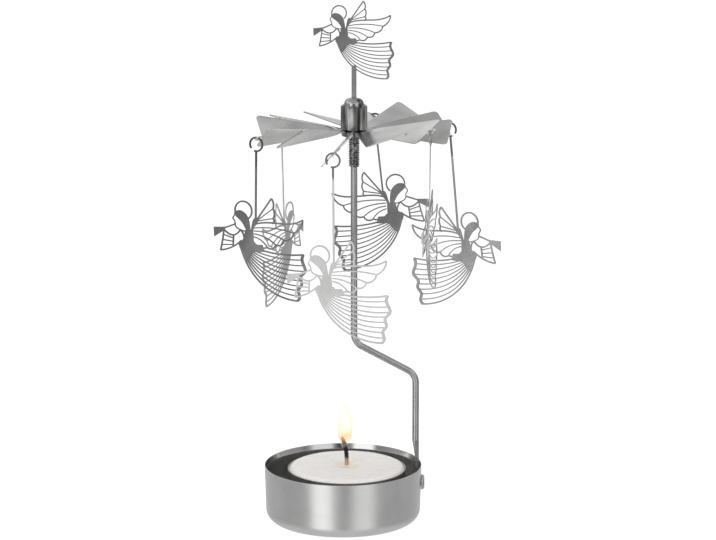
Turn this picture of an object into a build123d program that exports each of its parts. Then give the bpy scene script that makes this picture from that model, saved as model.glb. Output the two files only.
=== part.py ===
from build123d import *
import math
import os

# Driving dimensions, in millimetres and degrees

# Base cup
cup_rim_diameter = 48.4
cup_foot_diameter = 47.4
cup_height = 17.2
cup_wall = 0.5
rim_bevel = 0.34
rim_bevel_height = 1.6
cup_foot_radius = 3.5

# Tealight
tealight_diameter = 36.4
tealight_height = 15.6
tealight_wall = 0.3
tealight_foot_radius = 0.66
tealight_shift = 1.1
wax_depth = 16.4
wax_clearance = 0.02
wax_edge_radius = 1.2
sustainer_diameter = 12.0
sustainer_thickness = 0.4
wick_diameter = 1.5
wick_shift = 2.0
wick_showing = 8.4
wick_bend_radius = 16.0
wick_bend_angle = 25.0

# Stand wire
wire_diameter = 2.05
wire_axis_shift = 3.4
wire_low_bend_height = 45.8
wire_high_bend_height = 55.9
wire_bend_radius = 4.5
wire_point_length = 2.2
wire_point_flat = 0.12
tab_width = 3.8
tab_thickness = 1.2
tab_top_height = 25.0
tab_bottom_height = 7.5
tab_shoulder = 5.0
tab_corner = 1.0

# Rivet that holds the wire to the cup
rivet_height = 11.5
rivet_shank_diameter = 2.2
rivet_head_diameter = 4.8
rivet_head_height = 1.0
rivet_dome_radius = 0.9
rivet_tail_diameter = 3.4
rivet_tail_height = 0.6
rivet_hole_clearance = 0.05

# Rotor hub
fan_height = 121.4
sheet_thickness = 0.35
running_clearance = 0.08
thread_clearance = 0.02
sleeve_diameter = 3.4
sleeve_drop = 10.9
sleeve_rise = 4.2
sleeve_chamfer = 0.25
clamp_diameter = 7.6
clamp_height = 1.5
clamp_chamfer = 0.3
cap_flats = 7.2
cap_corner_radius = 0.8
cap_hex_height = 7.7
cap_chamfer = 0.6
cap_chamfer_inset = 0.1
cap_dome_diameter = 6.0
cap_dome_height = 2.0
cap_dome_radius = 1.85
pivot_gap = 0.02
pivot_cone_angle = 70.0
wire_tip_below_cap = 2.6

# Fan blades, cut from one sheet and set by hand
blade_count = 12
blade_first_angle = 20.0
blade_span_angle = 27.0
blade_edge_radius = 29.2
blade_corner_radius = 1.2
hub_disc_radius = 4.4
stub_length = 0.3
neck_width = 1.9
neck_length = 2.2
blade_pitch = (24, 25, 20, 16, 20, 40, 31, 31, 46, 14, 24, 23)
blade_lift = (1.0, 4.0, 0.0, -0.5, 0.5, 0.3, -1.5, 3.0, -3.5, 4.0, 6.5, 1.0)
eyelet_radius = 1.5
eyelet_hole_radius = 1.0
eyelet_overhang = 0.7

# Angel sheets
angel_thickness = 0.3
angel_line = 0.5
angel_fine_line = 0.36
hem_line = 0.9
pleat_count = 8
halo_radius = 2.85
halo_start_angle = -50.0
halo_sweep_angle = 240.0
feather_bulge = 0.8
far_feather_bulge = 0.45
feather_bow = 0.7
ring_inner_radius = 1.8
ring_line = 0.55
ring_gap_angle = 34.0
ring_gap_centre = 235.0
ring_rest_gap = 0.1
strip_width = 0.6
strip_foot = (4.2, 2.4)
long_drop = 25.5
short_drop = 17.5
pendant_facing = (-29.0, 0.0, 67.0, 154.0, 168.0, 260.0)
pendant_lean = (-2.5, -2.5, 0.0, 3.0, 3.5, 0.0)
top_angel_scale = 0.77
stem_width = 1.5
stem_showing = 9.3
stem_overlap = 0.6
stem_meets_skirt = (5.8, 21.3)
stem_seat = 1.6
stem_fit = 0.03

os.makedirs("parts", exist_ok=True)

# Derived heights and places
cup_floor = cup_wall
fan_top = fan_height + sheet_thickness
clamp_bottom = fan_height - clamp_height
cap_bottom = fan_top
cap_shoulder = cap_bottom + cap_hex_height
cap_top = cap_shoulder + cap_dome_height
wire_tip = cap_top - wire_tip_below_cap - pivot_gap
sleeve_bore = wire_diameter + 2 * running_clearance
rotor_axis = Location((wire_axis_shift, 0, 0))
upright = Plane(origin=(0, 0, 0), x_dir=(1, 0, 0), z_dir=(0, -1, 0)).location


def cup_outer_radius(height):
    share = height / cup_height
    return (cup_foot_diameter + (cup_rim_diameter - cup_foot_diameter) * share) / 2


tab_face = math.sqrt((cup_outer_radius(tab_bottom_height) - cup_wall) ** 2 - (tab_width / 2) ** 2)
wire_leg = tab_face - wire_diameter / 2


def turned(points):
    """A solid of revolution about Z from a closed outline of (radius, height) points."""
    outline = Polyline([(r, 0, z) for r, z in points], close=True)
    return revolve(make_face(outline), Axis.Z)


def cylinder(radius, low, high):
    disc = Plane.XY.offset(low) * Circle(radius)
    return extrude(disc, high - low)


def across_x(radius, start, end):
    """A round bar along X at the rivet's height."""
    plane = Plane(origin=(start, 0, rivet_height), x_dir=(0, 1, 0), z_dir=(1, 0, 0))
    return extrude(plane * Circle(radius), end - start)


# Base cup: a drawn shell with a rounded foot and a hole for the rivet
def base_cup():
    foot = cup_foot_diameter / 2
    rim = cup_rim_diameter / 2
    bevel_from = cup_height - rim_bevel_height
    wall = cup_outer_radius(bevel_from) - cup_wall
    solid = turned([(0, 0), (foot, 0), (rim, cup_height), (0, cup_height)])
    solid = fillet(solid.edges().group_by(Axis.Z)[0], cup_foot_radius)
    inner = turned(
        [(0, cup_wall), (foot - cup_wall, cup_wall), (wall, bevel_from),
         (rim - cup_wall + rim_bevel, cup_height), (0, cup_height)])
    inner = fillet(inner.edges().group_by(Axis.Z)[0], cup_foot_radius - cup_wall)
    hole = across_x(rivet_shank_diameter / 2 + rivet_hole_clearance, 0, cup_rim_diameter)
    return solid - inner - hole


# Stand wire: flattened foot, offset bends, a straight spindle and a turned point
def stand_wire():
    spindle_end = wire_tip - wire_point_length
    path = FilletPolyline(
        (wire_leg, 0, tab_top_height - tab_shoulder),
        (wire_leg, 0, wire_low_bend_height),
        (wire_axis_shift, 0, wire_high_bend_height),
        (wire_axis_shift, 0, spindle_end),
        radius=wire_bend_radius)
    section = Plane(path @ 0, z_dir=path % 0) * Circle(wire_diameter / 2)
    wire = sweep(section, path)
    inner_side = wire_leg - wire_diameter
    tab_inside = tab_face - tab_thickness
    flattened = Plane.XZ * make_face(Polyline(
        [(wire_leg - wire_diameter / 2, tab_top_height), (tab_inside, tab_top_height - tab_shoulder),
         (inner_side, tab_top_height - tab_shoulder), (inner_side, tab_top_height)], close=True))
    wire = wire - extrude(flattened, wire_diameter, both=True)
    point = rotor_axis * Pos(0, 0, spindle_end) * turned(
        [(0, 0), (wire_diameter / 2, 0), (wire_point_flat, wire_point_length), (0, wire_point_length)])
    half = tab_width / 2
    neck = wire_diameter / 2
    outline = Polyline(
        [(-half, tab_bottom_height + tab_corner), (-half + tab_corner, tab_bottom_height),
         (half - tab_corner, tab_bottom_height), (half, tab_bottom_height + tab_corner),
         (half, tab_top_height - tab_shoulder),
         (neck, tab_top_height), (-neck, tab_top_height), (-half, tab_top_height - tab_shoulder)], close=True)
    plane = Plane(origin=(tab_inside, 0, 0), x_dir=(0, 1, 0), z_dir=(1, 0, 0))
    tab = extrude(plane * make_face(outline), tab_thickness)
    hole = across_x(rivet_shank_diameter / 2 + rivet_hole_clearance, 0, cup_rim_diameter)
    return wire + point + tab - hole


# Rivet: domed head outside the cup, shank, and a closed tail inside the tab
def stand_rivet():
    seat = cup_outer_radius(rivet_height + rivet_head_diameter / 2)
    tail = tab_face - tab_thickness
    head = across_x(rivet_head_diameter / 2, seat, seat + rivet_head_height)
    head = fillet(head.edges().group_by(Axis.X)[-1], rivet_dome_radius)
    shank = across_x(rivet_shank_diameter / 2, tail - rivet_tail_height, seat)
    closed = across_x(rivet_tail_diameter / 2, tail - rivet_tail_height, tail)
    return head + shank + closed


# Tealight: foil cup, wax, wick sustainer and wick
def on_tealight(shape):
    return Pos(tealight_shift, 0, cup_floor) * shape


def tealight_cup():
    radius = tealight_diameter / 2
    shell = cylinder(radius, 0, tealight_height)
    shell = fillet(shell.edges().group_by(Axis.Z)[0], tealight_foot_radius)
    inner = cylinder(radius - tealight_wall, tealight_wall, tealight_height)
    inner = fillet(inner.edges().group_by(Axis.Z)[0], tealight_foot_radius - tealight_wall)
    return on_tealight(shell - inner)


def wick():
    """Stands on the sustainer: a straight run and a gentle bend at the top."""
    base = tealight_wall + sustainer_thickness
    bend = math.radians(wick_bend_angle)
    top = wax_depth + wick_showing
    lean = wick_bend_radius * (1 - math.cos(bend))
    straight = Line((0, wick_shift, base), (0, wick_shift, top - wick_bend_radius * math.sin(bend)))
    arc = TangentArc(straight @ 1, (-lean, wick_shift, top), tangent=(0, 0, 1))
    return on_tealight(sweep(Plane(straight @ 0) * Circle(wick_diameter / 2), straight + arc))


def wick_sustainer():
    disc = cylinder(sustainer_diameter / 2, tealight_wall, tealight_wall + sustainer_thickness)
    return on_tealight(Pos(0, wick_shift, 0) * disc)


def tealight_wax():
    radius = tealight_diameter / 2 - tealight_wall - wax_clearance
    block = cylinder(radius, tealight_wall, wax_depth)
    block = fillet(block.edges().group_by(Axis.Z)[0], tealight_foot_radius - tealight_wall)
    block = fillet(block.edges().group_by(Axis.Z)[-1], wax_edge_radius)
    return on_tealight(block) - wick_sustainer() - wick()


# Rotor hub: a threaded sleeve round the spindle, a clamp ring and the hexagon cap
def threaded_sleeve():
    low = fan_height - sleeve_drop
    tube = cylinder(sleeve_diameter / 2, low, fan_top + sleeve_rise)
    tube = chamfer(tube.edges().group_by(Axis.Z)[0], sleeve_chamfer)
    return rotor_axis * (tube - cylinder(sleeve_bore / 2, low, fan_top + sleeve_rise))


def clamp_ring():
    ring = cylinder(clamp_diameter / 2, clamp_bottom, fan_height)
    ring = chamfer(ring.edges().group_by(Axis.Z)[0], clamp_chamfer)
    return rotor_axis * (ring - cylinder(sleeve_diameter / 2 + thread_clearance, clamp_bottom, fan_height))


def cap_nut():
    across_corners = cap_flats / math.sqrt(3)
    hexagon = RegularPolygon(across_corners, 6)
    hexagon = fillet(hexagon.vertices(), cap_corner_radius)
    body = extrude(Plane.XY.offset(cap_bottom) * hexagon, cap_hex_height)
    end_radius = cap_flats / 2 - cap_chamfer_inset
    trim = turned([(0, cap_bottom), (end_radius, cap_bottom), (across_corners, cap_bottom + cap_chamfer),
                   (across_corners, cap_shoulder - cap_chamfer), (end_radius, cap_shoulder),
                   (0, cap_shoulder)])
    dome = cylinder(cap_dome_diameter / 2, cap_shoulder, cap_top)
    dome = fillet(dome.edges().group_by(Axis.Z)[-1], cap_dome_radius)
    pivot = wire_tip + pivot_gap
    cone_depth = (sleeve_bore / 2 - wire_point_flat) / math.tan(math.radians(pivot_cone_angle / 2))
    sleeve_end = fan_top + sleeve_rise
    bore = turned([(0, cap_bottom), (sleeve_diameter / 2 + thread_clearance, cap_bottom),
                   (sleeve_diameter / 2 + thread_clearance, sleeve_end), (sleeve_bore / 2, sleeve_end),
                   (sleeve_bore / 2, pivot - cone_depth), (wire_point_flat, pivot), (0, pivot)])
    slot = Pos(0, 0, cap_top - stem_seat) * Box(
        stem_width + 2 * stem_fit, angel_thickness + 2 * stem_fit, stem_seat,
        align=(Align.CENTER, Align.CENTER, Align.MIN))
    return rotor_axis * ((body & trim) + dome - bore - slot)


# Fan blades: each hangs on a twisted neck from a stub on the hub disc
def blade_place(index):
    return Pos(wire_axis_shift, 0, fan_height) * Rot(0, 0, blade_first_angle + index * 360 / blade_count)


def blade_frame(index):
    """The blade's own frame: X outwards, Y towards its raised edge, Z off its face."""
    tilt = Rot(0, -blade_lift[index], 0) * Rot(blade_pitch[index], 0, 0)
    return blade_place(index) * Pos(hub_disc_radius, 0, 0) * tilt


def blade(index):
    frame = blade_frame(index)
    side = math.tan(math.radians(blade_span_angle / 2))
    shoulder = neck_length + neck_width
    edge = blade_edge_radius - hub_disc_radius
    shoulder_half = (shoulder + hub_disc_radius) * side
    edge_half = blade_edge_radius * side
    neck_half = neck_width / 2
    outline = Polyline(
        [(neck_length, -neck_half), (shoulder, -shoulder_half), (edge, -edge_half),
         (edge, edge_half), (shoulder, shoulder_half), (neck_length, neck_half)], close=True)
    sheet = make_face(outline)
    sheet = fillet(sheet.vertices().group_by(Axis.X)[-1], blade_corner_radius)
    if index % 2 == 0:
        eye = Pos(edge + eyelet_overhang, 0)
        sheet = sheet + eye * Circle(eyelet_radius) - eye * Circle(eyelet_hole_radius)
    plate = frame * extrude(sheet, sheet_thickness)
    section = Plane.YZ * Pos(0, sheet_thickness / 2) * Rectangle(neck_width, sheet_thickness)
    root = blade_place(index) * Pos(hub_disc_radius + stub_length, 0, 0) * section
    neck = loft([root, frame * Pos(neck_length, 0, 0) * section])
    return [neck, plate]


def fan_wheel():
    disc = Circle(hub_disc_radius)
    stub_reach = hub_disc_radius + stub_length
    for index in range(blade_count):
        turn = Rot(0, 0, blade_first_angle + index * 360 / blade_count)
        disc = disc + turn * Pos(stub_reach / 2, 0) * Rectangle(stub_reach, neck_width)
    disc = disc - Circle(sleeve_diameter / 2 + thread_clearance)
    wheel = Pos(wire_axis_shift, 0, fan_height) * extrude(disc, sheet_thickness)
    pieces = [piece for index in range(blade_count) for piece in blade(index)]
    return wheel + pieces


# Angel figure, drawn in its own plane: first number backwards from the halo, second number down
def spot(point):
    return Vector(point[0], -point[1])


def between(first, second, share):
    return tuple(a + (b - a) * share for a, b in zip(first, second))


def stroke(points, width):
    ends = [spot(p) for p in points]
    line = Line(*ends) if len(ends) == 2 else Spline(*ends)
    return trace(line, width)


def scallop(first, second, bulge):
    """A feather's rounded end between two points of the trailing edge."""
    start = spot(first)
    end = spot(second)
    run = end - start
    outwards = Vector(-run.Y, run.X).normalized() * bulge
    return trace(ThreePointArc(start, (start + end) / 2 + outwards, end), angel_line)


def patch(points):
    return make_face(Spline([spot(p) for p in points], periodic=True))


def head_and_body():
    halo = trace(CenterArc((0, 0), halo_radius, halo_start_angle, halo_sweep_angle), angel_line)
    hair = patch([(-2.8, 0.5), (-0.6, 0.1), (1.3, 1.5), (2.2, 4.2), (2.1, 6.6), (0.9, 5.6), (-0.8, 3.3)])
    profile = stroke([(-2.7, 0.6), (-3.0, 1.6), (-3.5, 2.7), (-3.0, 3.4), (-2.7, 4.8), (-1.2, 5.9),
                      (1.4, 6.2)], angel_fine_line)
    torso = patch([(1.4, 5.6), (2.5, 6.2), (3.5, 8.8), (3.9, 11.0), (3.0, 13.2), (0.9, 15.4), (-0.6, 12.6),
                   (-1.4, 10.0), (0.2, 8.4)])
    shoulder = patch([(2.2, 6.2), (3.0, 3.6), (4.0, 1.9), (4.8, 2.2), (4.6, 3.6), (3.7, 4.8), (3.4, 7.0),
                      (3.4, 9.0)])
    return [halo, hair, profile, torso, shoulder]


def horn_and_sleeve():
    bell_points = [(-6.3, 5.6), (-10.1, 6.0), (-9.9, 9.0), (-6.3, 6.6)]
    bell = make_face(Polyline([spot(p) for p in bell_points], close=True))
    pipe = stroke([(-2.8, 4.4), (-6.5, 6.0)], angel_line)
    forearm = stroke([(-0.9, 5.9), (-3.3, 7.8), (-6.6, 6.4)], angel_line)
    cuff = stroke([(-6.6, 6.3), (-7.0, 9.4), (-7.7, 12.9)], angel_line)
    drape = stroke([(-7.7, 12.9), (-4.4, 11.9), (-0.6, 9.2)], angel_line)
    seam = stroke([(-3.3, 7.7), (-3.4, 11.2)], angel_line)
    upper_arm = stroke([(-1.0, 5.9), (0.1, 7.4), (0.3, 8.6)], angel_line)
    folds = [stroke([between((-6.8, 8.0), (-7.4, 11.2), share), between((-3.3, 8.8), (-3.4, 10.8), share)],
                    angel_fine_line) for share in (0, 0.5, 1)]
    return [bell, pipe, forearm, cuff, drape, seam, upper_arm] + folds


def wings():
    feather_ends = [(20.0, 0.9), (17.0, 5.2), (13.9, 7.7), (11.0, 9.4), (8.2, 10.5), (3.6, 9.4)]
    lines = [stroke([(3.6, 4.0), (9.6, 2.8), (14.0, 2.7), feather_ends[0]], angel_line)]
    lines += [scallop(a, b, feather_bulge) for a, b in zip(feather_ends, feather_ends[1:])]
    for row, end in enumerate(feather_ends[1:-1]):
        root = (3.6, 5.0 + 0.9 * row)
        middle = between(root, end, 0.5)
        lines.append(stroke([root, (middle[0], middle[1] - feather_bow), end], angel_fine_line))
    far_ends = [(9.4, -4.6), (10.0, -1.6), (10.1, 1.4), (9.8, 3.0)]
    lines.append(stroke([(4.4, 2.6), (7.2, -1.4), far_ends[0]], angel_line))
    lines += [scallop(a, b, far_feather_bulge) for a, b in zip(far_ends, far_ends[1:])]
    lines += [stroke([(4.4, 2.8), end], angel_fine_line) for end in far_ends[1:3]]
    return lines


def skirt():
    hem_points = [(20.4, 11.4), (20.2, 14.0), (21.0, 16.4), (19.5, 18.6), (19.9, 20.6), (18.8, 22.4),
                  (19.2, 24.2), (18.5, 25.8)]
    hem = Spline([spot(p) for p in hem_points])
    front_middle = (6.2, 21.7)
    back_middle = (9.0, 11.9)
    lines = [
        trace(hem, hem_line),
        stroke([(-0.5, 12.2), (1.7, 16.8), front_middle, (12.0, 24.8), hem_points[-1]], angel_line),
        stroke([(3.4, 10.9), back_middle, hem_points[0]], angel_line)]
    for row in range(1, pleat_count + 1):
        share = row / (pleat_count + 1)
        end = hem @ share
        waist = between((3.4, 11.4), (0.8, 15.0), share)
        middle = between(back_middle, front_middle, share)
        lines.append(stroke([waist, middle, (end.X, -end.Y)], angel_fine_line))
    sash_points = [(3.4, 10.0), (6.6, 9.9), (7.2, 12.0), (3.4, 12.4)]
    sash = make_face(Polyline([spot(p) for p in sash_points], close=True))
    return lines + [sash]


figure = Sketch() + (head_and_body() + horn_and_sleeve() + wings() + skirt())


def pendant(index):
    """A flat figure with its strip and open ring, hung by its weight and leaning a little."""
    drop = long_drop if index % 2 == 0 else short_drop
    ring_mid = ring_inner_radius + ring_line / 2
    ring_spot = spot((strip_foot[0], -halo_radius - angel_line / 2 - drop))
    ring_arc = CenterArc((0, 0), ring_mid, ring_gap_centre + ring_gap_angle / 2, 360 - ring_gap_angle)
    ring = Pos(ring_spot.X, ring_spot.Y) * trace(ring_arc, ring_line)
    strip = trace(Line(spot(strip_foot), ring_spot - Vector(0, ring_mid)), strip_width)
    flat = extrude(figure + ring + strip, angel_thickness / 2, both=True)
    weight = flat.center(CenterOf.MASS) - ring_spot
    hang = math.degrees(math.atan2(weight.X, -weight.Y))
    hung = upright * Rot(0, 0, pendant_lean[index] - hang) * Pos(-ring_spot.X, -ring_spot.Y) * flat
    return Pos(*ring_centre(index)) * Rot(0, 0, pendant_facing[index] + 180) * hung


def ring_centre(index):
    """The ring hangs on the eyelet's rim, on the side that the figure faces."""
    frame = blade_frame(2 * index)
    turn = math.radians(pendant_facing[index] - blade_first_angle - 2 * index * 360 / blade_count)
    rim = (eyelet_radius + eyelet_hole_radius) / 2
    eye = blade_edge_radius - hub_disc_radius + eyelet_overhang
    bridge = frame * Pos(eye + rim * math.cos(turn), rim * math.sin(turn), sheet_thickness / 2)
    half_bridge = math.hypot(eyelet_radius - eyelet_hole_radius, sheet_thickness) / 2
    place = bridge.position
    return place.X, place.Y, place.Z - (ring_inner_radius - half_bridge - ring_rest_gap)


# Finial: the same figure, smaller, on a flat stem that stands in the cap's slot
def top_angel():
    small = scale(figure, top_angel_scale)
    shift = spot(stem_meets_skirt) * top_angel_scale
    length = stem_seat + stem_showing + stem_overlap
    stem = Pos(0, stem_overlap - length / 2) * Rectangle(stem_width, length)
    flat = extrude(Pos(-shift.X, -shift.Y) * small + stem, angel_thickness / 2, both=True)
    return rotor_axis * Pos(0, 0, cap_top + stem_showing) * upright * flat


nodes = {
    "base_cup": base_cup(),
    "stand_wire": stand_wire(),
    "stand_rivet": stand_rivet(),
    "tealight_cup": tealight_cup(),
    "tealight_wax": tealight_wax(),
    "wick_sustainer": wick_sustainer(),
    "wick": wick(),
    "threaded_sleeve": threaded_sleeve(),
    "clamp_ring": clamp_ring(),
    "cap_nut": cap_nut(),
    "fan_wheel": fan_wheel(),
    "top_angel": top_angel(),
}
for index in range(blade_count // 2):
    nodes[f"angel_pendant_{index + 1}"] = pendant(index)

for name, shape in nodes.items():
    export_step(shape, f"parts/{name}.step")

for index in range(blade_count // 2):
    print("ring", index + 1, [round(value, 4) for value in ring_centre(index)])
print("height", round(max(shape.bounding_box().max.Z for shape in nodes.values()), 3))
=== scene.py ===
import math

import bmesh
import bpy
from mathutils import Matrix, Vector, noise


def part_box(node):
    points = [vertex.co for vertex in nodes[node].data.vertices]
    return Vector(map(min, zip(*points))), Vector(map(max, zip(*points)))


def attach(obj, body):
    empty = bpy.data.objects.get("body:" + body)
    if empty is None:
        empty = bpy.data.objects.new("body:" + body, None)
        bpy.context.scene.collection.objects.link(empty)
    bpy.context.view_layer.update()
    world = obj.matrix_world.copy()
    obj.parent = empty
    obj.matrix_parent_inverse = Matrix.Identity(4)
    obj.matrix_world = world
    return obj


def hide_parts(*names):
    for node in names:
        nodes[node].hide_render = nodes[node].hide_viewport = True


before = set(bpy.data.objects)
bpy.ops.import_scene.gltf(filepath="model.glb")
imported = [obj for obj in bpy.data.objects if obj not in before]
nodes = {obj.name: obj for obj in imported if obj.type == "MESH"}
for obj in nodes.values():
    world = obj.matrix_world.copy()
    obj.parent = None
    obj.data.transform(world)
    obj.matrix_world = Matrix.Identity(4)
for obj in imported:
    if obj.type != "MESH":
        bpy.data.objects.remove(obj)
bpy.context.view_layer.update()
scene = bpy.context.scene
scene.view_settings.view_transform = "Standard"
MM = 0.001


# Node helpers
class Nodes:
    """A node tree, with short calls to add and join nodes."""

    def __init__(self, tree):
        self.nodes = tree.nodes
        self.links = tree.links

    def add(self, kind, **settings):
        node = self.nodes.new(kind)
        for key, value in settings.items():
            setattr(node, key, value)
        return node

    def feed(self, node, **values):
        """Joins outputs to a node's sockets or sets constants there; an underscore stands for a space."""
        for key, value in values.items():
            self.plug(node, key.replace("_", " "), value)

    def plug(self, node, socket, value):
        """Joins an output to one socket, given by name or number, or sets a constant there."""
        if isinstance(value, bpy.types.NodeSocket):
            self.links.new(value, node.inputs[socket])
        else:
            node.inputs[socket].default_value = value

    def math(self, operation, *values):
        node = self.add("ShaderNodeMath", operation=operation)
        for index, value in enumerate(values):
            self.plug(node, index, value)
        return node.outputs[0]

    def ramp(self, share, stops, ease="LINEAR"):
        """A colour that runs through (position, colour) stops."""
        node = self.add("ShaderNodeValToRGB")
        node.color_ramp.interpolation = ease
        while len(node.color_ramp.elements) < len(stops):
            node.color_ramp.elements.new(0.5)
        for element, (position, colour) in zip(node.color_ramp.elements, stops):
            element.position = position
            element.color = (*colour, 1)
        self.feed(node, Fac=share)
        return node.outputs["Color"]

    def mix(self, share, first, second, blend="MIX"):
        node = self.add("ShaderNodeMix", data_type="RGBA", blend_type=blend)
        self.feed(node, Factor=share, A=first, B=second)
        return node.outputs["Result"]


class Tree(Nodes):
    """A material's nodes, placed by the piece's own coordinates, so that they follow its motion."""

    def __init__(self, name):
        self.material = bpy.data.materials.new(name)
        self.material.use_nodes = True
        super().__init__(self.material.node_tree)
        self.shader = self.nodes["Principled BSDF"]
        coordinates = self.add("ShaderNodeTexCoord")
        self.place = coordinates.outputs["Object"]
        self.normal = coordinates.outputs["Normal"]

    def set(self, **values):
        self.feed(self.shader, **values)

    def source(self, socket):
        """The output that is joined to a socket of the shader."""
        return self.shader.inputs[socket].links[0].from_socket

    def noise(self, scale, detail, stretch=(1, 1, 1), rough=0.55):
        mapping = self.add("ShaderNodeMapping")
        self.feed(mapping, Vector=self.place, Scale=stretch)
        node = self.add("ShaderNodeTexNoise")
        self.feed(node, Vector=mapping.outputs[0], Scale=scale, Detail=detail, Roughness=rough)
        return node.outputs["Fac"]

    def span(self, value, low, high, to_low, to_high):
        """Maps one range to another and holds the value at both ends."""
        node = self.add("ShaderNodeMapRange")
        self.feed(node, Value=value, From_Min=low, From_Max=high, To_Min=to_low, To_Max=to_high)
        return node.outputs["Result"]

    def bump(self, height, depth, under=None):
        """Relief of a depth in metres, on top of another relief if one is given."""
        node = self.add("ShaderNodeBump")
        self.feed(node, Height=height, Distance=depth, Strength=1.0)
        if under is not None:
            self.feed(node, Normal=under)
        return node.outputs["Normal"]

    def axis(self, name):
        node = self.add("ShaderNodeSeparateXYZ")
        self.feed(node, Vector=self.place)
        return node.outputs[name]

    def reach(self, centre):
        """Distance from an upright line."""
        dx = self.math("SUBTRACT", self.axis("X"), centre.x)
        dy = self.math("SUBTRACT", self.axis("Y"), centre.y)
        squares = self.math("ADD", self.math("MULTIPLY", dx, dx), self.math("MULTIPLY", dy, dy))
        return self.math("SQRT", squares)

    def tone(self, share):
        """Darkens or lightens the base colour by a share that varies over the surface."""
        self.set(Base_Color=self.mix(1.0, self.source("Base Color"), share, "MULTIPLY"))

    def patches(self, noise, dark, light, fade):
        """Dark and light patches that meet within fade of the noise's middle value."""
        self.tone(self.span(noise, 0.5 - fade, 0.5 + fade, dark, light))


def greys(stops):
    """Colour stops from (position, level) pairs."""
    return [(position, (level, level, level)) for position, level in stops]


def middle(low, high):
    """The upright line through the middle of a box, as a point at height 0."""
    return Vector(((low.x + high.x) / 2, (low.y + high.y) / 2, 0))


# The candle's places in the frame, and the wick's half thickness and bend
WICK_HALF = 0.75 * MM
WICK_RADIUS = 16.0 * MM
WICK_BEND = math.radians(25.0)
wax_low, wax_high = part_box("tealight_wax")
wick_low, wick_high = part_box("wick")
tealight_at = middle(wax_low, wax_high)
wick_at = Vector((wick_high.x - WICK_HALF, (wick_low.y + wick_high.y) / 2, 0))

# Nearly all of a noise lies between these two values
NOISE_LOW = 0.3
NOISE_HIGH = 0.7


# Materials of the metal pieces
METAL_WARMTH = 0.006
SMUDGE_SCALE = 160
SMUDGE_SHARE = 0.6


def metal_grey(level):
    """A grey with a touch of warmth."""
    return (level * (1 + METAL_WARMTH), level, level * (1 - METAL_WARMTH))


def metal(name, levels, rough, grain, stretch, grain_depth, dent, dent_depth):
    """Plated or bare metal with faint smudges, rolling grain and shallow dents.

    levels and rough run between two values; grain and dent are scales of noise.
    """
    tree = Tree(name)
    smudge = tree.noise(SMUDGE_SCALE, 4, rough=0.6)
    lines = tree.noise(grain, 2, stretch)
    mixed = tree.math("ADD", tree.math("MULTIPLY", smudge, SMUDGE_SHARE),
                      tree.math("MULTIPLY", lines, 1 - SMUDGE_SHARE))
    dents = tree.bump(tree.noise(dent, 1), dent_depth)
    dark, light = levels
    tree.set(Metallic=1.0,
             Base_Color=tree.ramp(smudge, [(NOISE_LOW, metal_grey(dark)), (NOISE_HIGH, metal_grey(light))]),
             Roughness=tree.span(mixed, NOISE_LOW, NOISE_HIGH, *rough),
             Normal=tree.bump(lines, grain_depth, dents))
    return tree


def cup_material():
    """Satin steel, rubbed smooth on the bevel inside the rim."""
    tree = metal("satin_steel", levels=(0.72, 0.79), rough=(0.28, 0.35), grain=900, stretch=(0.06, 0.06, 1.6),
                 grain_depth=1.2e-6, dent=60, dent_depth=1.5e-5)
    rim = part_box("base_cup")[1]
    cup_axis = Vector()
    worn_depth = 1.4 * MM
    depth_fade = 0.3 * MM
    outer_skin = 0.12 * MM
    skin_fade = 0.04 * MM
    worn_smooth = 0.35
    worn_tone = 0.9
    near_top = tree.span(tree.axis("Z"), rim.z - worn_depth - depth_fade, rim.z - worn_depth, 0, 1)
    inside = tree.span(tree.reach(cup_axis), rim.x - outer_skin - skin_fade, rim.x - outer_skin, 1, 0)
    worn = tree.math("MULTIPLY", near_top, inside)
    smoother = tree.span(worn, 0, 1, 1.0, worn_smooth)
    tree.set(Roughness=tree.math("MULTIPLY", tree.source("Roughness"), smoother))
    tree.tone(tree.span(worn, 0, 1, 1.0, worn_tone))
    return tree


def wire_material():
    return metal("drawn_wire", levels=(0.43, 0.53), rough=(0.24, 0.3), grain=2600, stretch=(1, 1, 0.04),
                 grain_depth=6e-7, dent=80, dent_depth=1e-5)


def foil_material():
    return metal("foil", levels=(0.45, 0.55), rough=(0.34, 0.5), grain=2600, stretch=(1, 1, 0.05),
                 grain_depth=2e-5, dent=240, dent_depth=6e-5)


def clamp_material():
    return metal("clamp_steel", levels=(0.2, 0.3), rough=(0.14, 0.26), grain=1600, stretch=(1, 1, 0.2),
                 grain_depth=8e-7, dent=200, dent_depth=2e-5)


def cap_material():
    """Plating, with painted reflections in dark and bright streaks up and down."""
    tree = metal("cap_plate", levels=(0.28, 0.34), rough=(0.04, 0.1), grain=1800, stretch=(1, 1, 0.1),
                 grain_depth=5e-7, dent=160, dent_depth=4e-5)
    # Painted reflection: upright dark and bright streaks in the base colour stand in for the plating's
    # mirrored bands.
    tree.patches(tree.noise(560, 1, (1, 1, 0.16)), dark=0.25, light=2.0, fade=0.14)
    return tree


def thread_material():
    """Dull steel with dark and rubbed spots along the thread."""
    tree = metal("thread_steel", levels=(0.29, 0.39), rough=(0.16, 0.3), grain=2600, stretch=(1, 1, 0.4),
                 grain_depth=1.2e-5, dent=300, dent_depth=1e-5)
    tree.patches(tree.noise(1100, 2), dark=0.35, light=1.6, fade=0.12)
    return tree


def fan_material():
    """Bright sheet, clouded in places, with painted shade round the hub."""
    tree = metal("fan_sheet", levels=(0.66, 0.74), rough=(0.2, 0.28), grain=1500, stretch=(1, 0.08, 1),
                 grain_depth=6e-7, dent=60, dent_depth=2.2e-4)
    hub = middle(*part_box("clamp_ring"))
    hub_shade_radius = 4.2 * MM
    unshaded_radius = 7.5 * MM
    hub_shade = 0.3
    # Painted shade: the base colour darkens towards the hub, under the nut and between the blade necks.
    tree.tone(tree.span(tree.reach(hub), hub_shade_radius, unshaded_radius, hub_shade, 1.0))
    tree.patches(tree.noise(75, 1), dark=0.8, light=1.06, fade=0.12)
    return tree


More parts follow.
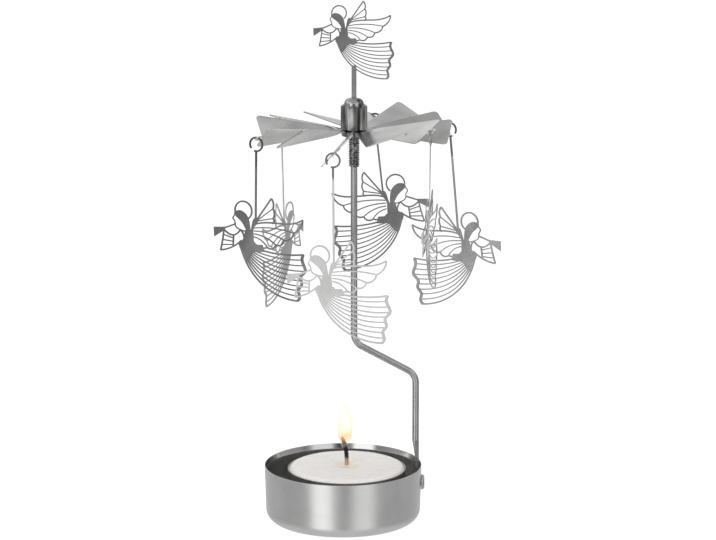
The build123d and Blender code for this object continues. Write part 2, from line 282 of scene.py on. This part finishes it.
def angel_material(name, facing, heights, painted_tones, painted_edge_tone):
    """Thin upright sheet, turned by facing degrees, with painted light and shade of its own on its cut edges.

    The tones, for below and above the two heights, which part the figure from its strip or stem, are painted
    light and shade.
    """
    tree = metal(name, levels=(0.42, 0.52), rough=(0.18, 0.28), grain=2200, stretch=(1, 1, 0.2),
                 grain_depth=1e-6, dent=60, dent_depth=7e-4)
    # Painted light and shade: the figure and its strip or stem lightened or darkened as this sheet catches
    # light
    tree.tone(tree.span(tree.axis("Z"), *heights, *painted_tones))
    turn = math.radians(facing)
    compare = tree.add("ShaderNodeVectorMath", operation="DOT_PRODUCT")
    tree.plug(compare, 0, tree.normal)
    tree.plug(compare, 1, (-math.sin(turn), math.cos(turn), 0))
    # 0 on the cut edges and 1 on the two faces
    on_face = tree.math("ABSOLUTE", compare.outputs["Value"])
    edge_until = 0.4
    face_from = 0.8
    # Painted light and shade on the cut edges
    tree.tone(tree.span(on_face, edge_until, face_from, painted_edge_tone, 1.0))
    return tree


# Materials of the candle
def wax_material():
    """Off-white wax, a little translucent and wet round the wick."""
    tree = Tree("wax")
    wet_radius = 4.2 * MM
    dry_radius = 6.2 * MM
    ragged = 1.6 * MM
    wet_colour = (0.76, 0.66, 0.53, 1)
    wet_share = 0.5
    reach = tree.math("ADD", tree.reach(wick_at), tree.math("MULTIPLY", tree.noise(500, 2), ragged))
    wet = tree.span(reach, wet_radius, dry_radius, 1.0, 0.0)
    clouds = tree.ramp(tree.noise(420, 5), [(0.3, (0.69, 0.668, 0.64)), (0.72, (0.76, 0.745, 0.722))])
    crust = tree.math("MULTIPLY", tree.noise(900, 4), tree.span(wet, 0, 1, 1.0, 0.05))
    tree.set(Base_Color=tree.mix(tree.math("MULTIPLY", wet, wet_share), clouds, wet_colour),
             Roughness=tree.span(wet, 0, 1, 0.48, 0.12),
             Normal=tree.bump(crust, 5e-5),
             Subsurface_Weight=0.25, Subsurface_Scale=3 * MM, Subsurface_Radius=(1.0, 0.8, 0.55), IOR=1.44)
    return tree


def wick_material():
    """Cotton, tan at the wax and charred above, with a dull ember at the tip."""
    tree = Tree("charred_wick")
    height = tree.span(tree.axis("Z"), wax_high.z, wick_high.z, 0, 1)
    char = tree.ramp(height, [(0.0, (0.72, 0.5, 0.32)), (0.16, (0.6, 0.36, 0.2)), (0.26, (0.03, 0.024, 0.02)),
                              (0.5, (0.016, 0.014, 0.013)), (0.86, (0.05, 0.035, 0.028)),
                              (1.0, (0.20, 0.09, 0.04))])
    fibre = tree.noise(5200, 3)
    tree.set(Base_Color=tree.mix(0.6, char, fibre, "MULTIPLY"),
             Roughness=tree.span(fibre, NOISE_LOW, NOISE_HIGH, 0.7, 0.95),
             Normal=tree.bump(fibre, 8e-5),
             Emission_Color=tree.ramp(height, [(0.84, (0, 0, 0)), (1.0, (1.0, 0.28, 0.05))]),
             Emission_Strength=0.6)
    return tree


def flame_material(name, low, high, colours, cover, strength):
    """Glowing gas: colour and cover run with the height."""
    tree = Tree(name)
    height = tree.span(tree.axis("Z"), low, high, 0, 1)
    drift = tree.math("ADD", height, tree.span(tree.noise(260, 2), NOISE_LOW, NOISE_HIGH, -0.05, 0.05))
    tree.set(Base_Color=(0, 0, 0, 1), Roughness=1.0, Specular_IOR_Level=0.0,
             Emission_Color=tree.ramp(drift, colours, "EASE"), Emission_Strength=strength,
             Alpha=tree.ramp(drift, greys(cover), "EASE"))
    return tree


# Mesh helpers
def make(name, bm, body, tree):
    """Turns a bmesh into a smooth piece that rides a body."""
    mesh = bpy.data.meshes.new(name)
    bm.normal_update()
    bm.to_mesh(mesh)
    bm.free()
    for polygon in mesh.polygons:
        polygon.use_smooth = True
    obj = bpy.data.objects.new(name, mesh)
    scene.collection.objects.link(obj)
    mesh.materials.append(tree.material)
    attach(obj, body)
    return obj


def band(bm, first, second):
    """Quads between two rings of equal length."""
    for i in range(len(first)):
        j = (i + 1) % len(first)
        bm.faces.new((first[i], first[j], second[j], second[i]))


def skin(bm, rings):
    """A tube through the rings, closed by one face at each end."""
    for first, second in zip(rings, rings[1:]):
        band(bm, first, second)
    bm.faces.new(list(reversed(rings[0])))
    bm.faces.new(rings[-1])


def turned(profile, centre, count, shift):
    """A closed lathe body from (radius, height) points, bottom to top; shift moves each spot of it."""
    bm = bmesh.new()
    rings = []
    for radius, height in profile:
        ring = []
        for i in range(count):
            angle = 2 * math.pi * i / count
            spot = Vector((radius * math.cos(angle), radius * math.sin(angle), height))
            ring.append(bm.verts.new(centre + shift(spot)))
        rings.append(ring)
    skin(bm, rings)
    return bm


def wax_piece(tree):
    """Wax with a shrunk shoulder, a dished top and a small melt pool."""
    radius = (wax_high.x - wax_low.x) / 2
    top = wax_high.z
    sides = 96
    foot_inset = 0.35 * MM
    foot_height = 0.4 * MM
    straight_to = top - 4 * MM
    shoulder = 1.55 * MM
    shoulder_steps = 8
    shoulder_foot = top - shoulder
    flat = radius - shoulder
    flat_steps = 36
    innermost = 0.05 * MM
    melted_from = top - 0.9 * shoulder
    lumps = 0.05 * MM
    lump_scale = 260
    fine_lumps = 0.015 * MM
    fine_scale = 900
    dish_depth = 0.16 * MM
    pool_depth = 0.22 * MM
    pool_radius = 5.2 * MM
    pool_uneven = 1.0 * MM
    pool_scale = 300
    pool_steepness = 4

    profile = [(radius - foot_inset, wax_low.z), (radius, wax_low.z + foot_height), (radius, straight_to),
               (radius, shoulder_foot)]
    for step in range(1, shoulder_steps + 1):
        angle = math.radians(90 * step / shoulder_steps)
        profile.append((radius - shoulder * (1 - math.cos(angle)), top - shoulder * (1 - math.sin(angle))))
    for step in range(1, flat_steps):
        profile.append((flat * (1 - step / flat_steps), top))
    profile.append((innermost, top))

    def melt(spot):
        if spot.z < melted_from:
            return spot
        uneven = noise.noise(spot * lump_scale) * lumps + noise.noise(spot * fine_scale) * fine_lumps
        dish = dish_depth * (1 - min(1, spot.xy.length / flat) ** 2)
        from_wick = (spot.xy + tealight_at.xy - wick_at.xy).length
        pool_edge = pool_radius + noise.noise(spot * pool_scale) * pool_uneven
        pool = pool_depth * max(0.0, 1 - (from_wick / pool_edge) ** pool_steepness)
        return spot + Vector((0, 0, min(0.0, uneven - lumps) - dish - pool))

    return make("candle_wax", turned(profile, tealight_at, sides, melt), "tealight", tree)


def wick_line(share):
    """A point of the wick's axis and its direction: straight up, then bent to the left."""
    tip = wick_high.z - WICK_HALF * math.sin(WICK_BEND)
    bend_foot = tip - WICK_RADIUS * math.sin(WICK_BEND)
    straight = bend_foot - wick_low.z
    along = share * (straight + WICK_RADIUS * WICK_BEND)
    if along <= straight:
        return Vector((wick_at.x, wick_at.y, wick_low.z + along)), Vector((0, 0, 1))
    turn = (along - straight) / WICK_RADIUS
    place = Vector((wick_at.x - WICK_RADIUS * (1 - math.cos(turn)), wick_at.y,
                    bend_foot + WICK_RADIUS * math.sin(turn)))
    return place, Vector((-math.sin(turn), 0, math.cos(turn)))


def taper(share, start, loss):
    """A factor that falls from 1 at the share start to 1 - loss at the end."""
    return 1 - loss * max(0, share - start) / (1 - start)


def wick_piece(tree):
    """Three strands laid round each other along the wick's line, drawn together at the tip."""
    strands = 3
    steps = 150
    turns = 9.0
    sides = 10
    lay_radius = 0.34 * MM
    strand_radius = 0.37 * MM
    fuzz = 0.12
    fuzz_along = 90
    fuzz_round = 2
    strand_apart = 7
    side = Vector((0, 1, 0))
    bm = bmesh.new()
    for strand in range(strands):
        rings = []
        for step in range(steps + 1):
            share = step / steps
            place, along = wick_line(share)
            other = side.cross(along)
            phase = 2 * math.pi * (turns * share + strand / strands)
            lay = lay_radius * taper(share, start=0.9, loss=0.25)
            thick = strand_radius * taper(share, start=0.93, loss=0.3)
            centre = place + (side * math.cos(phase) + other * math.sin(phase)) * lay
            ring = []
            for i in range(sides):
                angle = 2 * math.pi * i / sides
                spot = (side * math.cos(angle) + other * math.sin(angle)) * thick
                seed = Vector((share * fuzz_along, angle * fuzz_round, strand * strand_apart))
                ring.append(bm.verts.new(centre + spot * (1 + fuzz * noise.noise(seed))))
            rings.append(ring)
        skin(bm, rings)
    return make("braided_wick", bm, "tealight", tree)


def sleeve_piece(tree):
    """Sleeve with a screw thread outside and a plain bore, narrowed a little at its lower end."""
    low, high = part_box("threaded_sleeve")
    centre = middle(low, high)
    length = high.z - low.z
    crest = (high.x - low.x) / 2
    thread_depth = 0.27 * MM
    bore = 1.105 * MM
    pitch = 0.7 * MM
    # Half the width of the flat at crest and root, as a share of the pitch
    half_flat = 0.08
    rows_per_turn = 14
    rows = int(length / (pitch / rows_per_turn))
    lead_length = 0.5 * MM
    lead_share = 0.1
    count = 64
    angles = [2 * math.pi * i / count for i in range(count)]
    bm = bmesh.new()

    def ring(radii, height):
        spots = []
        for radius, angle in zip(radii, angles):
            x = centre.x + radius * math.cos(angle)
            y = centre.y + radius * math.sin(angle)
            spots.append(bm.verts.new((x, y, height)))
        return spots

    def thread(angle, height):
        phase = (height / pitch - angle / (2 * math.pi)) % 1.0
        flank = min(1.0, max(0.0, (abs(phase - 0.5) - half_flat) / (0.5 - 2 * half_flat)))
        lead = min(1.0, (height - low.z) / lead_length)
        return (crest - thread_depth * (1 - flank)) * (1 - lead_share * (1 - lead))

    rings = [ring([bore] * count, low.z)]
    for row in range(rows + 1):
        height = low.z + length * row / rows
        rings.append(ring([thread(angle, height) for angle in angles], height))
    rings.append(ring([bore] * count, high.z))
    for first, second in zip(rings, rings[1:] + rings[:1]):
        band(bm, first, second)
    return make("screw_sleeve", bm, "rotor", tree)


def flame_piece(name, foot, tip, radius, belly, tree):
    """A drop that is widest at the share belly of its height and sways a little; it casts no shadow."""
    steps = 40
    sides = 40
    thinnest = 0.012 * MM
    foot_curve = 0.8
    tip_fall = 2.2
    tip_curve = 0.65
    sway_x = 0.25 * MM
    sway_y = 0.15 * MM
    wave_x = 3.0
    wave_y = 4.0
    wave_y_start = 0.8
    profile = []
    for step in range(steps + 1):
        share = step / steps
        if share < belly:
            wide = math.sin(0.5 * math.pi * share / belly) ** foot_curve
        else:
            wide = (1 - ((share - belly) / (1 - belly)) ** tip_fall) ** tip_curve
        profile.append((max(radius * wide, thinnest), foot + (tip - foot) * share))

    def sway(spot):
        share = (spot.z - foot) / (tip - foot)
        x = sway_x * math.sin(wave_x * share)
        y = sway_y * math.sin(wave_y * share + wave_y_start)
        return spot + Vector((x, y, 0))

    over_tip = wick_at - Vector((WICK_HALF, 0, 0))
    obj = make(name, turned(profile, over_tip, sides, sway), "tealight", tree)
    obj.visible_shadow = False


# Finer pieces in place of the wax, the wick and the sleeve
wax = wax_piece(wax_material())
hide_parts("tealight_wax")
strands = wick_piece(wick_material())
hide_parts("wick")
sleeve = sleeve_piece(thread_material())
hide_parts("threaded_sleeve")

# Flame: a thin outer shell and a bright heart
shell_low = wick_high.z - 4.2 * MM
shell_high = wick_high.z + 10.2 * MM
shell_colours = [(0.0, (0.7, 0.78, 1.0)), (0.2, (0.98, 0.6, 0.32)), (0.36, (1.0, 0.78, 0.42)),
                 (0.48, (1.0, 0.93, 0.45)), (1.0, (0.98, 0.95, 0.45))]
shell_cover = [(0.0, 0.03), (0.15, 0.2), (0.25, 0.46), (0.4, 0.42), (0.8, 0.36), (1.0, 0.24)]
shell = flame_material("flame_shell", shell_low, shell_high, shell_colours, shell_cover, strength=1.0)
flame_piece("flame_outer", shell_low, shell_high, radius=2.3 * MM, belly=0.38, tree=shell)

heart_low = shell_low + 3.4 * MM
heart_high = shell_high - 1.0 * MM
heart_colours = [(0.0, (1.0, 0.52, 0.22)), (0.1, (1.0, 0.62, 0.32)), (0.24, (1.0, 0.86, 0.6)),
                 (0.36, (1.0, 0.99, 0.93)), (1.0, (1.0, 1.0, 0.94))]
heart_cover = [(0.0, 0.3), (0.12, 0.65), (0.3, 0.95), (0.9, 0.95), (1.0, 0.5)]
heart = flame_material("flame_core", heart_low, heart_high, heart_colours, heart_cover, strength=1.3)
flame_piece("flame_heart", heart_low, heart_high, radius=1.85 * MM, belly=0.36, tree=heart)


# Materials on the CAD nodes
def put(tree, *names):
    for name in names:
        materials = nodes[name].data.materials
        materials.clear()
        materials.append(tree.material)


put(cup_material(), "base_cup")
put(wire_material(), "stand_wire", "stand_rivet")
put(foil_material(), "tealight_cup", "wick_sustainer")
put(cap_material(), "cap_nut")
put(clamp_material(), "clamp_ring")
put(fan_material(), "fan_wheel")

stem_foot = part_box("top_angel")[0].z
stem_end = (stem_foot + 10.5 * MM, stem_foot + 12 * MM)
# Painted light and shade on the top angel: stem lightened, figure lightened a little, cut edges darkened
stem_painted_light = 1.45
finial_painted_light = 1.12
finial_edge_painted_shade = 0.3
finial = angel_material("finial_sheet", 180, stem_end, (stem_painted_light, finial_painted_light), finial_edge_painted_shade)
put(finial, "top_angel")

rings_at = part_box("angel_pendant_4")[1].z
strip_foot = (rings_at - 10 * MM, rings_at - 8.5 * MM)
# For each pendant: facing in degrees, then the painted light and shade of figure, strip and cut edges, set by
# how light falls on each sheet
pendant_sheets = [
    (-29, 1.75, 0.7, 0.3),
    (0, 1.25, 0.6, 0.3),
    (67, 1.4, 1.2, 1.1),
    (154, 0.8, 0.3, 0.3),
    (168, 0.97, 0.28, 0.4),
    (260, 1.4, 1.2, 0.7),
]
for index, (facing, figure_painted_tone, strip_painted_tone, painted_edge_tone) in enumerate(pendant_sheets, 1):
    sheet = angel_material(f"angel_sheet_{index}", facing, strip_foot, (figure_painted_tone, strip_painted_tone), painted_edge_tone)
    put(sheet, f"angel_pendant_{index}")


# Floor: pale, close to white for the camera, and it keeps a soft shadow
FLOOR_RADIUS = 1.6
FLOOR_SIDES = 96


def floor_material():
    tree = Tree("floor_pale")
    tree.set(Base_Color=(0.82, 0.82, 0.82, 1), Roughness=0.9)
    glow = tree.add("ShaderNodeEmission")
    tree.feed(glow, Strength=1.12)
    glow_share = 0.86
    rays = tree.add("ShaderNodeLightPath")
    blend = tree.add("ShaderNodeMixShader")
    tree.feed(blend, Fac=tree.math("MULTIPLY", rays.outputs["Is Camera Ray"], glow_share))
    tree.plug(blend, 1, tree.shader.outputs[0])
    tree.plug(blend, 2, glow.outputs[0])
    tree.feed(tree.nodes["Material Output"], Surface=blend.outputs[0])
    return tree


bm = bmesh.new()
bmesh.ops.create_circle(bm, cap_ends=True, segments=FLOOR_SIDES, radius=FLOOR_RADIUS)
floor_mesh = bpy.data.meshes.new("floor")
bm.to_mesh(floor_mesh)
bm.free()
floor_mesh.materials.append(floor_material().material)
floor = bpy.data.objects.new("floor", floor_mesh)
scene.collection.objects.link(floor)
floor.visible_glossy = False

# World: white to the camera, a plain studio to the metal, even light for the rest
world = bpy.data.worlds.new("studio")
scene.world = world
world.use_nodes = True
sky = Nodes(world.node_tree)
towards = sky.add("ShaderNodeSeparateXYZ")
sky.feed(towards, Vector=sky.add("ShaderNodeTexCoord").outputs["Generated"])

# Brightness round the horizon, by degrees to the right of the front
turn = sky.math("ARCTAN2", towards.outputs["X"], sky.math("MULTIPLY", towards.outputs["Y"], -1.0))
round_share = sky.math("ADD", sky.math("DIVIDE", turn, 2 * math.pi), 0.5)
studio_round = [(-180, 0.66), (-120, 0.46), (-85, 0.38), (-52, 0.3), (-42, 1.4), (-19, 1.4), (-11, 0.3),
                (0, 0.24), (11, 0.26), (19, 0.95), (42, 0.95), (54, 0.34), (80, 0.36), (120, 0.42),
                (180, 0.66)]
around = sky.ramp(round_share, greys([((angle + 180) / 360, level) for angle, level in studio_round]), "EASE")

# Brightness by height, from straight down at 0 to straight up at 1, away from the horizon
rise = sky.math("MULTIPLY", sky.math("ADD", towards.outputs["Z"], 1.0), 0.5)
off_horizon = [(0.0, 1.0), (0.12, 1.0), (0.38, 0.0), (0.6, 0.0), (0.76, 1.0), (1.0, 1.0)]
floor_to_ceiling = [(0.0, 0.6), (0.4, 0.6), (0.62, 0.95), (0.78, 0.92), (0.835, 0.6), (0.9, 0.48), (1.0, 0.5)]
studio = sky.mix(sky.ramp(rise, greys(off_horizon), "EASE"), around,
                 sky.ramp(rise, greys(floor_to_ceiling), "EASE"))

EVEN_LIGHT = (0.55, 0.55, 0.56, 1)
WHITE = (1, 1, 1, 1)
rays = sky.add("ShaderNodeLightPath")
lit = sky.mix(rays.outputs["Is Glossy Ray"], EVEN_LIGHT, studio)
seen = sky.math("MAXIMUM", rays.outputs["Is Camera Ray"], rays.outputs["Is Transmission Ray"])
sky.feed(sky.nodes["Background"], Color=sky.mix(seen, lit, WHITE))


# Lamps: two soft boxes in front and one above
LAMP_AIM = Vector((0, 0, 0.08))


def lamp(name, place, size, power):
    light = bpy.data.lights.new(name, "AREA")
    light.shape = "RECTANGLE"
    light.size, light.size_y = size
    light.energy = power
    obj = bpy.data.objects.new(name, light)
    obj.location = place
    obj.rotation_euler = (LAMP_AIM - Vector(place)).to_track_quat("-Z", "Y").to_euler()
    obj.visible_glossy = False
    scene.collection.objects.link(obj)


lamp("left_box", place=(-0.45, -0.65, 0.4), size=(0.35, 0.6), power=3.2)
lamp("right_box", place=(0.5, -0.6, 0.4), size=(0.35, 0.6), power=1.8)
lamp("top_box", place=(0.05, 0.1, 0.75), size=(0.6, 0.6), power=3.2)

# Camera at the photograph's place
FOCAL_PIXELS = 3076
PHOTO_WIDTH_PIXELS = 716
SENSOR_WIDTH = 36.0
TILT_DOWN = 12.3
CAMERA_PLACE = (0.0046, -0.915, 0.278)
camera = bpy.data.cameras.new("camera")
camera.sensor_fit = "HORIZONTAL"
camera.sensor_width = SENSOR_WIDTH
camera.lens = SENSOR_WIDTH * FOCAL_PIXELS / PHOTO_WIDTH_PIXELS
camera.clip_end = 20
eye = bpy.data.objects.new("camera", camera)
eye.location = CAMERA_PLACE
eye.rotation_euler = (math.radians(90 - TILT_DOWN), 0, 0)
scene.collection.objects.link(eye)
scene.camera = eye
